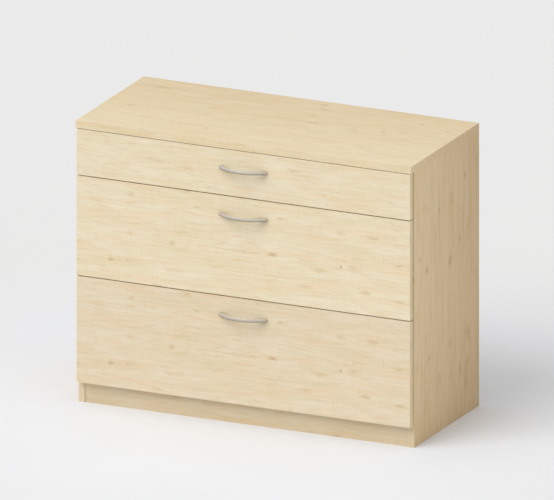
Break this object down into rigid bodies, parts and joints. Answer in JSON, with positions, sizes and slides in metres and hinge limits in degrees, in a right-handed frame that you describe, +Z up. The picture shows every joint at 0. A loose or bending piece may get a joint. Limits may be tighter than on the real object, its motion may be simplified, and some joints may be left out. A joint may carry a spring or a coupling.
{
  "type": "drawer chest",
  "caption": "Free-standing maple-effect office chest with a shallow drawer above deep drawers, bow handles, full-extension ball-bearing runners and a recessed plinth.",
  "frame": {"origin": "on the floor under the middle of the chest's box, handles included", "axes": "+X to the right seen from the front, +Y to the back, +Z up"},
  "size_m": [1, 0.471, 0.802],
  "materials": {
    "maple_board": "maple-effect melamine, satin",
    "box_board": "plain light melamine, matt",
    "satin_nickel": "satin nickel plate",
    "zinc_steel": "bright zinc plate",
    "die_cast_zinc": "as cast",
    "beech": "raw turned beech"
  },
  "bodies": {
    "carcass": {"left_side_panel": "maple_board", "right_side_panel": "maple_board", "top_panel": "maple_board", "bottom_panel": "maple_board", "back_panel": "maple_board", "plinth_panel": "maple_board", "cam_locks": "die_cast_zinc", "cam_bolts": "zinc_steel", "wood_dowels": "beech", "runner_screws": "zinc_steel", "upper_left_cabinet_member": "zinc_steel", "upper_right_cabinet_member": "zinc_steel", "middle_left_cabinet_member": "zinc_steel", "middle_right_cabinet_member": "zinc_steel", "lower_left_cabinet_member": "zinc_steel", "lower_right_cabinet_member": "zinc_steel"},
    "upper_drawer": {"upper_front": "maple_board", "upper_handle": "satin_nickel", "upper_subfront": "box_board", "upper_box_left": "box_board", "upper_box_right": "box_board", "upper_box_back": "box_board", "upper_box_bottom": "box_board", "upper_left_drawer_member": "zinc_steel", "upper_right_drawer_member": "zinc_steel", "upper_screws": "zinc_steel"},
    "upper_intermediate_members": {"upper_left_intermediate_member": "zinc_steel", "upper_right_intermediate_member": "zinc_steel"},
    "upper_cabinet_cages": {"upper_cabinet_ball_cages": "zinc_steel"},
    "upper_drawer_cages": {"upper_drawer_ball_cages": "zinc_steel"},
    "middle_drawer": {"middle_front": "maple_board", "middle_handle": "satin_nickel", "middle_subfront": "box_board", "middle_box_left": "box_board", "middle_box_right": "box_board", "middle_box_back": "box_board", "middle_box_bottom": "box_board", "middle_left_drawer_member": "zinc_steel", "middle_right_drawer_member": "zinc_steel", "middle_screws": "zinc_steel", "middle_file_rails": "zinc_steel"},
    "middle_intermediate_members": {"middle_left_intermediate_member": "zinc_steel", "middle_right_intermediate_member": "zinc_steel"},
    "middle_cabinet_cages": {"middle_cabinet_ball_cages": "zinc_steel"},
    "middle_drawer_cages": {"middle_drawer_ball_cages": "zinc_steel"},
    "lower_drawer": {"lower_front": "maple_board", "lower_handle": "satin_nickel", "lower_subfront": "box_board", "lower_box_left": "box_board", "lower_box_right": "box_board", "lower_box_back": "box_board", "lower_box_bottom": "box_board", "lower_left_drawer_member": "zinc_steel", "lower_right_drawer_member": "zinc_steel", "lower_screws": "zinc_steel", "lower_file_rails": "zinc_steel"},
    "lower_intermediate_members": {"lower_left_intermediate_member": "zinc_steel", "lower_right_intermediate_member": "zinc_steel"},
    "lower_cabinet_cages": {"lower_cabinet_ball_cages": "zinc_steel"},
    "lower_drawer_cages": {"lower_drawer_ball_cages": "zinc_steel"}
  },
  "joints": [
    {"name": "upper_drawer_slide", "type": "slide", "parent": "carcass", "child": "upper_drawer", "axis": [0, -1, 0], "range_m": [0, 0.35]},
    {"name": "upper_intermediate_members_slide", "type": "slide", "parent": "carcass", "child": "upper_intermediate_members", "axis": [0, -1, 0], "range_m": [0, 0.176]},
    {"name": "upper_cabinet_cages_slide", "type": "slide", "parent": "carcass", "child": "upper_cabinet_cages", "axis": [0, -1, 0], "range_m": [0, 0.088]},
    {"name": "upper_drawer_cages_slide", "type": "slide", "parent": "carcass", "child": "upper_drawer_cages", "axis": [0, -1, 0], "range_m": [0, 0.263]},
    {"name": "middle_drawer_slide", "type": "slide", "parent": "carcass", "child": "middle_drawer", "axis": [0, -1, 0], "range_m": [0, 0.35]},
    {"name": "middle_intermediate_members_slide", "type": "slide", "parent": "carcass", "child": "middle_intermediate_members", "axis": [0, -1, 0], "range_m": [0, 0.176]},
    {"name": "middle_cabinet_cages_slide", "type": "slide", "parent": "carcass", "child": "middle_cabinet_cages", "axis": [0, -1, 0], "range_m": [0, 0.088]},
    {"name": "middle_drawer_cages_slide", "type": "slide", "parent": "carcass", "child": "middle_drawer_cages", "axis": [0, -1, 0], "range_m": [0, 0.263]},
    {"name": "lower_drawer_slide", "type": "slide", "parent": "carcass", "child": "lower_drawer", "axis": [0, -1, 0], "range_m": [0, 0.35]},
    {"name": "lower_intermediate_members_slide", "type": "slide", "parent": "carcass", "child": "lower_intermediate_members", "axis": [0, -1, 0], "range_m": [0, 0.176]},
    {"name": "lower_cabinet_cages_slide", "type": "slide", "parent": "carcass", "child": "lower_cabinet_cages", "axis": [0, -1, 0], "range_m": [0, 0.088]},
    {"name": "lower_drawer_cages_slide", "type": "slide", "parent": "carcass", "child": "lower_drawer_cages", "axis": [0, -1, 0], "range_m": [0, 0.263]}
  ],
  "couplings": [
    {"joint": "upper_intermediate_members_slide", "follows": "upper_drawer_slide", "ratio": 0.5},
    {"joint": "upper_cabinet_cages_slide", "follows": "upper_drawer_slide", "ratio": 0.25},
    {"joint": "upper_drawer_cages_slide", "follows": "upper_drawer_slide", "ratio": 0.75},
    {"joint": "middle_intermediate_members_slide", "follows": "middle_drawer_slide", "ratio": 0.5},
    {"joint": "middle_cabinet_cages_slide", "follows": "middle_drawer_slide", "ratio": 0.25},
    {"joint": "middle_drawer_cages_slide", "follows": "middle_drawer_slide", "ratio": 0.75},
    {"joint": "lower_intermediate_members_slide", "follows": "lower_drawer_slide", "ratio": 0.5},
    {"joint": "lower_cabinet_cages_slide", "follows": "lower_drawer_slide", "ratio": 0.25},
    {"joint": "lower_drawer_cages_slide", "follows": "lower_drawer_slide", "ratio": 0.75}
  ]
}
